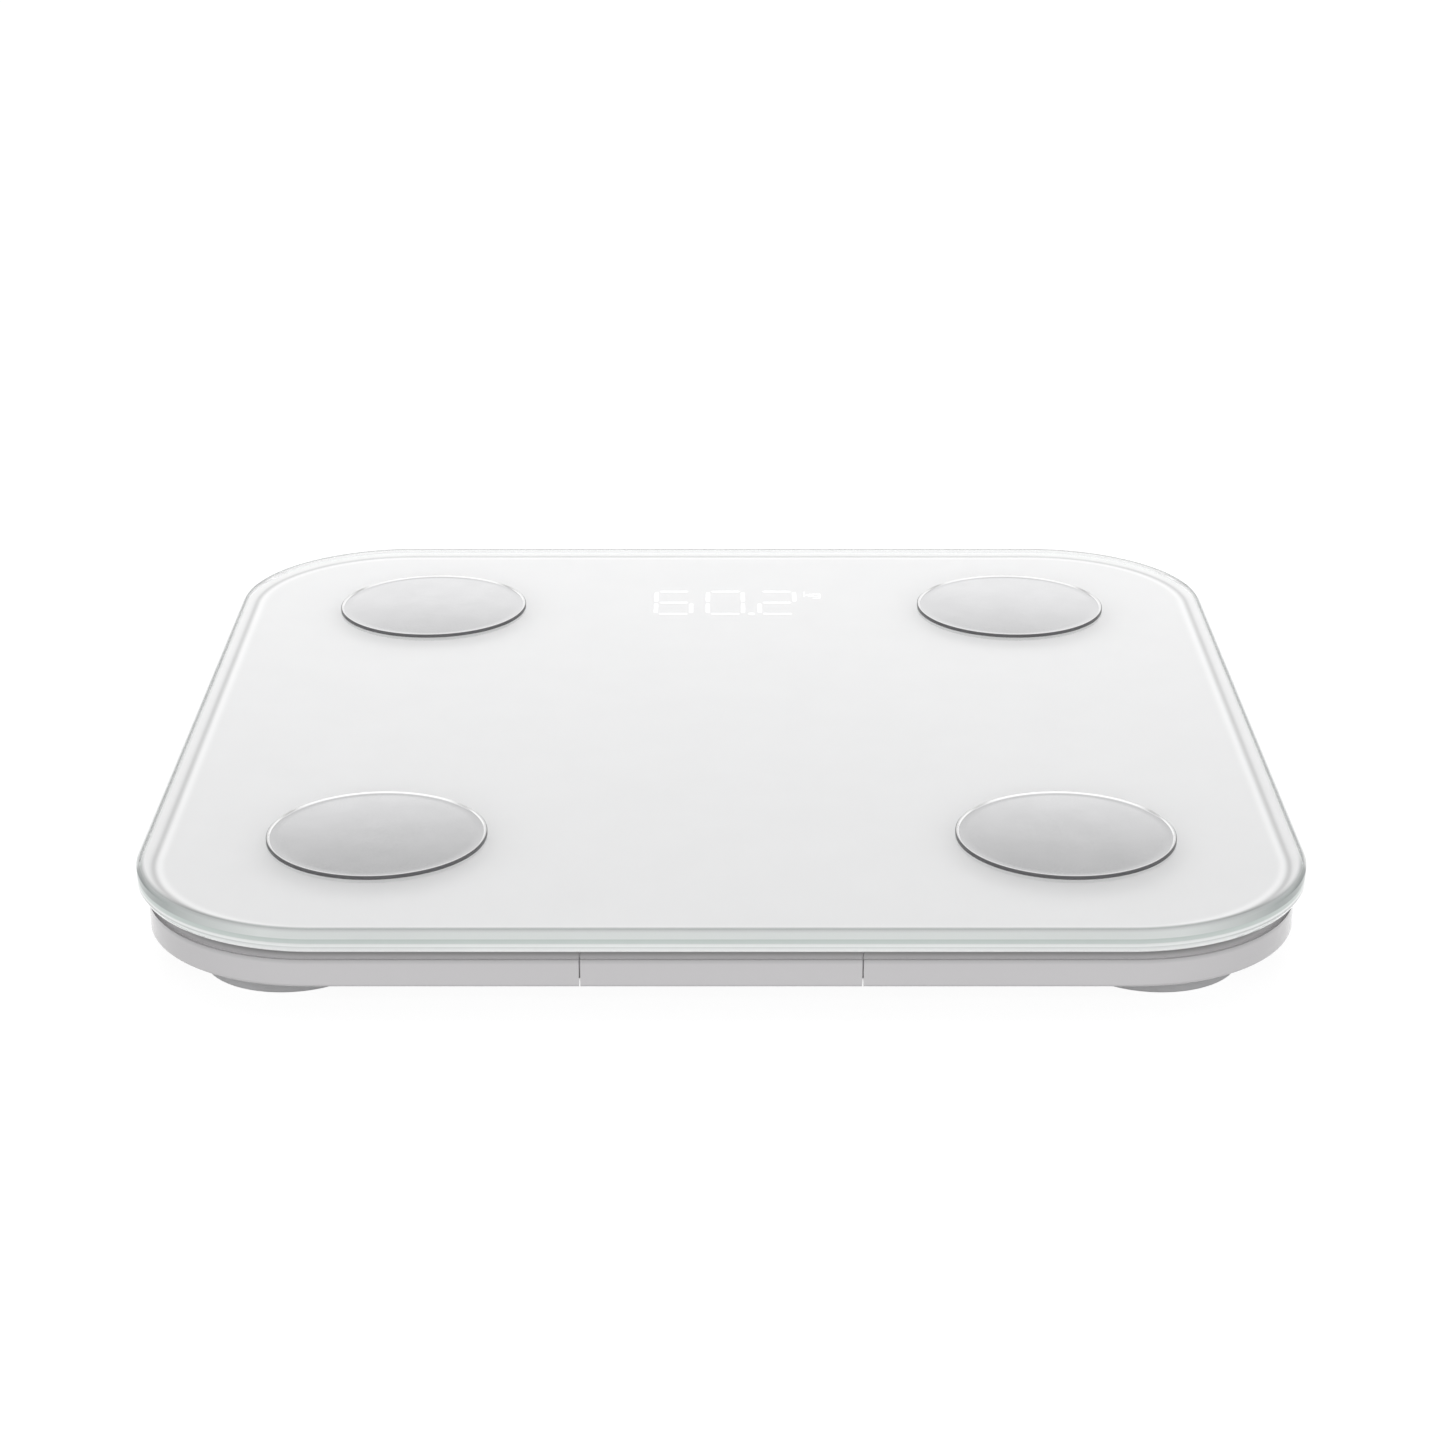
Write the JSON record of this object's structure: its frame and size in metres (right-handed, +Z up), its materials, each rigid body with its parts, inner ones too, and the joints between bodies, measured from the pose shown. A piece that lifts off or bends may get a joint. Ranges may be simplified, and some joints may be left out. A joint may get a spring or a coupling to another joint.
{
  "type": "bathroom scale",
  "caption": "Square glass bathroom scale with round metal electrodes, a lit display under the glass, sprung feet and a slide-out battery door.",
  "frame": {"origin": "on the floor under the middle of the glass", "axes": "+Z up, +Y towards the display, -Y towards the user and the battery door"},
  "size_m": [0.3, 0.3, 0.026],
  "materials": {
    "clear_glass": "polished, tempered",
    "white_print": "smooth white film",
    "adhesive": "cured sealant",
    "electrode_metal": "bead blasted with a bright rim",
    "plated_steel": "zinc plated",
    "tinned_brass": "tinned",
    "tray_plastic": "fine moulded grain",
    "inner_plastic": "moulded",
    "foot_plastic": "moulded",
    "foot_rubber": "matt",
    "cell_steel": "stamped alloy steel",
    "gauge_film": "sealed foil",
    "board_green": "solder mask",
    "reflector_white": "moulded",
    "diffuser_film": "frosted film",
    "emitter": "clear resin",
    "chip_black": "moulded",
    "shield_metal": "tinned can",
    "socket_white": "moulded",
    "battery_wrap": "plain sleeve",
    "contact_metal": "nickel plated strip",
    "cable_grey": "insulation",
    "lead_red": "insulation",
    "lead_black": "insulation"
  },
  "bodies": {
    "scale_body": {"glass_platform": "clear_glass", "white_backing": "white_print", "bonding_bead": "adhesive", "electrode_front_left": "electrode_metal", "electrode_front_right": "electrode_metal", "electrode_rear_left": "electrode_metal", "electrode_rear_right": "electrode_metal", "electrode_nuts": "plated_steel", "retainer_screws": "plated_steel", "board_screws": "plated_steel", "electrode_terminals": "tinned_brass", "base_tray": "tray_plastic", "battery_cradle": "inner_plastic", "load_cell_retainer_front_left": "inner_plastic", "load_cell_retainer_front_right": "inner_plastic", "load_cell_retainer_rear_left": "inner_plastic", "load_cell_retainer_rear_right": "inner_plastic", "load_cell_front_left": "cell_steel", "load_cell_front_right": "cell_steel", "load_cell_rear_left": "cell_steel", "load_cell_rear_right": "cell_steel", "strain_gauges": "gauge_film", "main_board": "board_green", "display_light_box": "reflector_white", "display_diffuser": "diffuser_film", "display_leds": "emitter", "controller_chip": "chip_black", "radio_module": "shield_metal", "board_sockets": "socket_white", "battery_front": "battery_wrap", "battery_middle": "battery_wrap", "battery_rear": "battery_wrap", "battery_negative_contact": "contact_metal", "battery_positive_contact": "contact_metal", "battery_link_left": "contact_metal", "battery_link_right": "contact_metal", "load_cell_cable_front_left": "cable_grey", "load_cell_cable_front_right": "cable_grey", "load_cell_cable_rear_left": "cable_grey", "load_cell_cable_rear_right": "cable_grey", "electrode_lead_front_left": "cable_grey", "electrode_lead_front_right": "cable_grey", "electrode_lead_rear_left": "cable_grey", "electrode_lead_rear_right": "cable_grey", "battery_lead_positive": "lead_red", "battery_lead_negative": "lead_black"},
    "foot_front_left": {"foot_cup_front_left": "foot_plastic", "foot_pad_front_left": "foot_rubber"},
    "foot_front_right": {"foot_cup_front_right": "foot_plastic", "foot_pad_front_right": "foot_rubber"},
    "foot_rear_left": {"foot_cup_rear_left": "foot_plastic", "foot_pad_rear_left": "foot_rubber"},
    "foot_rear_right": {"foot_cup_rear_right": "foot_plastic", "foot_pad_rear_right": "foot_rubber"},
    "battery_door": {"battery_door": "tray_plastic"}
  },
  "joints": [
    {"name": "foot_front_left_press", "type": "slide", "parent": "scale_body", "child": "foot_front_left", "axis": [0, 0, 1], "range_m": [0, 0.0006], "stiffness_N_per_m": 600, "springref_m": -0.0087, "deforming": ["load_cell_front_left"]},
    {"name": "foot_front_right_press", "type": "slide", "parent": "scale_body", "child": "foot_front_right", "axis": [0, 0, 1], "range_m": [0, 0.0006], "stiffness_N_per_m": 600, "springref_m": -0.0087, "deforming": ["load_cell_front_right"]},
    {"name": "foot_rear_left_press", "type": "slide", "parent": "scale_body", "child": "foot_rear_left", "axis": [0, 0, 1], "range_m": [0, 0.0006], "stiffness_N_per_m": 600, "springref_m": -0.0087, "deforming": ["load_cell_rear_left"]},
    {"name": "foot_rear_right_press", "type": "slide", "parent": "scale_body", "child": "foot_rear_right", "axis": [0, 0, 1], "range_m": [0, 0.0006], "stiffness_N_per_m": 600, "springref_m": -0.0087, "deforming": ["load_cell_rear_right"]},
    {"name": "battery_door_slide", "type": "slide", "parent": "scale_body", "child": "battery_door", "axis": [0, -1, 0], "range_m": [0, 0.056]}
  ]
}
